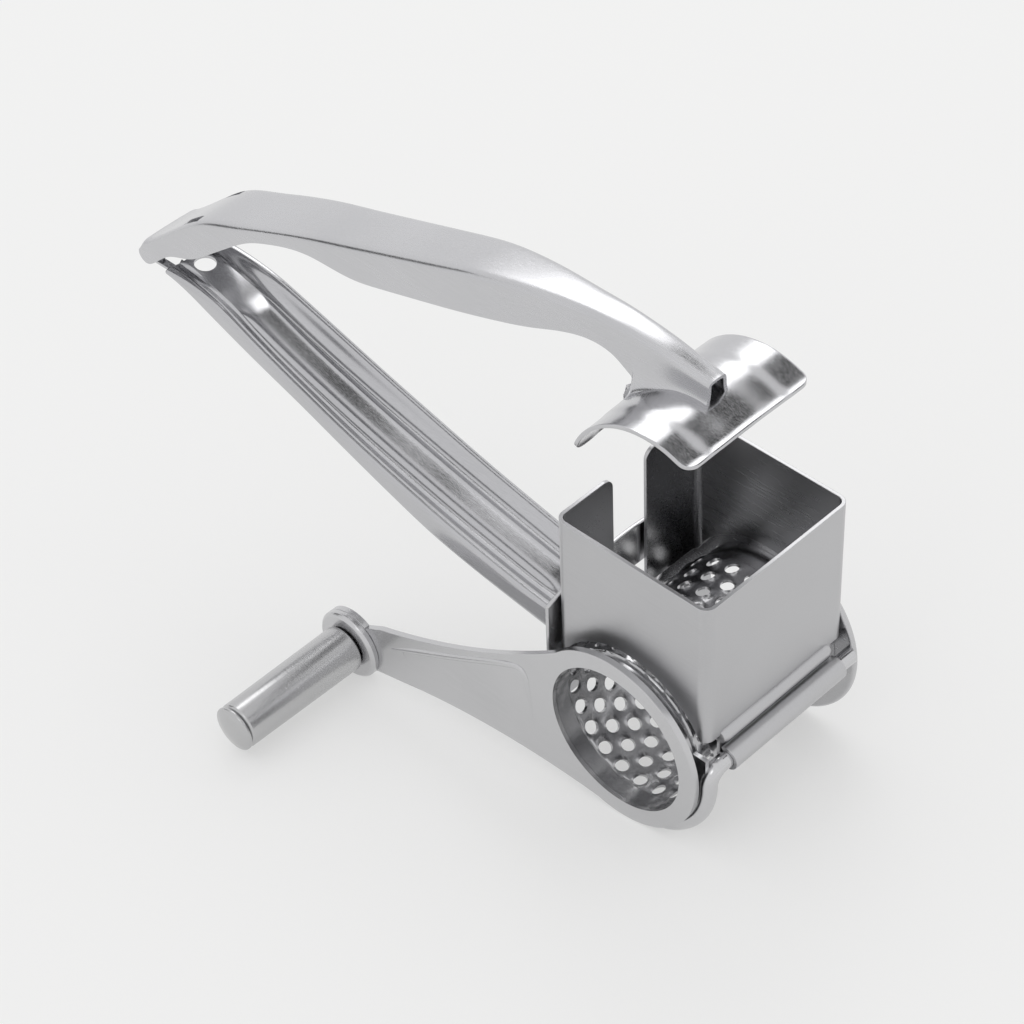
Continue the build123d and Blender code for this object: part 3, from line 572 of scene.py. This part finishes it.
# ------------------------------------------------------------------ cradle
# What carries the drum: a stamped cheek and a round disc with a rolled edge, welded to the
# yoke behind the hopper, and the bar that bends down from the hopper's hinge round the cheek.
def softened(node_name, name, material, body, width=0.0, segments=2, select=None, reshape=None):
    """A stamped piece: the plain solid's faces joined up, and its sharp edges rolled over."""
    mesh = bmesh.new()
    mesh.from_mesh(nodes[node_name].data)
    if reshape:
        for vertex in mesh.verts:
            vertex.co = reshape(vertex.co)
    bmesh.ops.remove_doubles(mesh, verts=mesh.verts, dist=1e-6)
    bmesh.ops.dissolve_limit(mesh, angle_limit=radians(0.4), verts=mesh.verts, edges=mesh.edges)
    steps = select or ((lambda edge: True, width),)
    for wanted, size in steps:
        edges = [edge for edge in mesh.edges
                 if len(edge.link_faces) == 2 and edge.calc_face_angle() > radians(40) and wanted(edge)]
        bmesh.ops.bevel(mesh, geom=edges, offset=size * mm, offset_type="OFFSET", affect="EDGES",
                        segments=segments, profile=0.5, material=-1, clamp_overlap=True)
    return make_piece(mesh, name, material, body, (node_name,), even=True)


cradle_steel = steel("cradle_steel", (0.58, 0.58, 0.59), 0.24, stretch=8)
softened("cradle_cheek_near", "cradle_cheek", cradle_steel, "frame", 0.3)
softened("cradle_disc_far", "cradle_disc", cradle_steel, "frame", 0.2)
softened("rear_yoke", "yoke_plate", cradle_steel, "frame", 0.35)
rod_steel = steel("rod_steel", (0.62, 0.62, 0.63), 0.16, turn=(0, 0, radians(90)), stretch=10, haze=0.05)
nodes["hinge_bar"].data.materials.clear()
nodes["hinge_bar"].data.materials.append(rod_steel)


# ------------------------------------------------------------------ hopper
# The open box over the drum: satin stainless sheet folded round and welded, its rim and slot
# lightly rolled over, its front foot curled into the barrel that it tips on.
hopper_steel = steel("satin_hopper_steel", (0.55, 0.55, 0.56), 0.34, stretch=40, haze=0.04, bump=0.03)
# A darker copy of the same steel for the inside of the walls: painted shade for the dim inside of the box.
hopper_painted_shade = steel("hopper_inside_painted_shade", (0.36, 0.36, 0.37), 0.30, turn=(0, radians(90), 0), stretch=30,
                     haze=0.05, bump=0.04)
hopper = softened("hopper_box", "hopper_shell", hopper_steel, "hopper", 0.22)
hopper.data.materials.append(hopper_painted_shade)
inside_half_long = 0.0225
inside_half_wide = 0.024
# The inner faces of the walls above the drum take the darker steel, as painted shade.
for face in hopper.data.polygons:
    middle = face.center
    inward = Vector((-middle.x, -middle.y, 0)).dot(face.normal)
    past_inside = max(abs(middle.x) - inside_half_long, abs(middle.y) - inside_half_wide)
    if abs(face.normal.z) < 0.3 and inward > 0 and past_inside < 0.0001 and middle.z > 0.0095:
        face.material_index = 1
bead = bmesh.new()
bead_radius = 2.1 * mm
bmesh.ops.create_cone(bead, cap_ends=True, segments=32, radius1=bead_radius, radius2=bead_radius,
                      depth=39.5 * mm)
bmesh.ops.rotate(bead, matrix=Matrix.Rotation(pi / 2, 3, "X"), verts=bead.verts)
bmesh.ops.translate(bead, vec=Vector((23.1, -0.5, 9.2)) * mm, verts=bead.verts)
make_piece(bead, "hopper_bead", hopper_steel, "hopper", round_edge=1.6)


# ------------------------------------------------------------------ crank
# The crank, stamped from stainless sheet: a ring pressed onto the drum's end and a tapering arm,
# its outline turned over into a smooth lip and its panel dished below a raised rib that turns
# down at the root.
crank_steel = steel("crank_steel", (0.60, 0.60, 0.61), 0.22, turn=(0, radians(-18), 0), stretch=30)
crank_front = -0.03062
panel_floor = -0.03012
panel_depth = panel_floor - crank_front
panel_height = 0.0162
boss_axis = Vector((-0.09225, 0, -0.02997))


def crank_shape(spot):
    """Draws the arm's end corners in to the boss, and slopes the panel's floor up to its lower edge."""
    off_boss = Vector((spot.x, 0, spot.z)) - boss_axis
    if 0.0100 < off_boss.length < 0.0124:
        off_boss *= (off_boss.length - 0.0020) / off_boss.length
        return Vector((boss_axis.x + off_boss.x, spot.y, boss_axis.z + off_boss.z))
    if abs(spot.y - panel_floor) < 2e-5 and hypot(spot.x, spot.z) > 0.03:
        way_out = boss_axis.normalized()
        # along the arm and above its middle line, from the panel's pointed end
        out = way_out.dot(spot) - 0.083
        up = way_out.x * -spot.z + way_out.z * spot.x - 0.0025
        above_lower_edge = max(0.0, 0.985 * up - 0.177 * out)
        return Vector((spot.x, crank_front + panel_depth * above_lower_edge / panel_height, spot.z))
    return spot


def outline_edge(edge):
    """An edge of the crank's outline, on its front face."""
    low = min(vertex.co.y for vertex in edge.verts)
    deep = max(vertex.co.y for face in edge.link_faces for vertex in face.verts)
    near = min(hypot(vertex.co.x, vertex.co.z) for vertex in edge.verts)
    return abs(low - crank_front) < 2e-5 and deep > -0.0292 and near > 0.0205


def plain_edge(edge):
    """Any edge of the crank but those of its panel."""
    deep = max(vertex.co.y for face in edge.link_faces for vertex in face.verts)
    spot = (edge.verts[0].co + edge.verts[1].co) / 2
    return not (deep < -0.0300 and hypot(spot.x, spot.z) > 0.03)


softened("crank_plate", "crank_stamping", crank_steel, "drum", segments=3,
         select=((outline_edge, 0.8), (plain_edge, 0.12)), reshape=crank_shape)
rib_path = [(-77.2, -22.4), (-72, -19.4), (-66.5, -16.2), (-59, -12.2), (-51.9, -8.2), (-45, -4.2),
            (-39, -0.7), (-34, 2.0), (-31.4, 2.9), (-29.8, 2.3), (-29.0, 0), (-28.4, -4), (-27.8, -8),
            (-27.3, -12), (-27, -16)]


def rib_section(step):
    """The rib's low arched section across its path, thinned out towards both of its ends."""
    last = len(rib_path) - 1
    here = Vector(rib_path[step])
    way = (Vector(rib_path[min(step + 1, last)]) - Vector(rib_path[max(step - 1, 0)])).normalized()
    full = min(1.0, 0.25 + step * 0.5, 0.1 + (last - step) * 0.22)
    return [(here.x - way.y * t * full, -30.58 - 0.6 * full * (1 - t * t), here.y + way.x * t * full)
            for t in (-1, -0.7, -0.35, 0, 0.35, 0.7, 1)]


make_piece(sweep(range(len(rib_path)), rib_section), "crank_rib", crank_steel, "drum", wall=0.3, levels=1,
           outward=((-51.9, -31.2, -8.2), (0, -1, 0)))


# ------------------------------------------------------------------ grip
# The turning grip: a tube brushed lengthwise on a steel spindle, between a boss riveted to the
# crank and a domed end cap.
grip_steel = steel("satin_grip_steel", (0.56, 0.56, 0.565), 0.26, turn=(0, 0, radians(90)), stretch=60,
                   haze=0.06, bump=0.05)
softened("grip_boss", "grip_boss_ring", crank_steel, "drum", 0.2)
softened("grip_sleeve", "grip_tube", grip_steel, "grip", 0.15)
softened("grip_end_cap", "grip_cap", grip_steel, "drum", 0.2)
nodes["grip_spindle"].data.materials.clear()
nodes["grip_spindle"].data.materials.append(rod_steel)
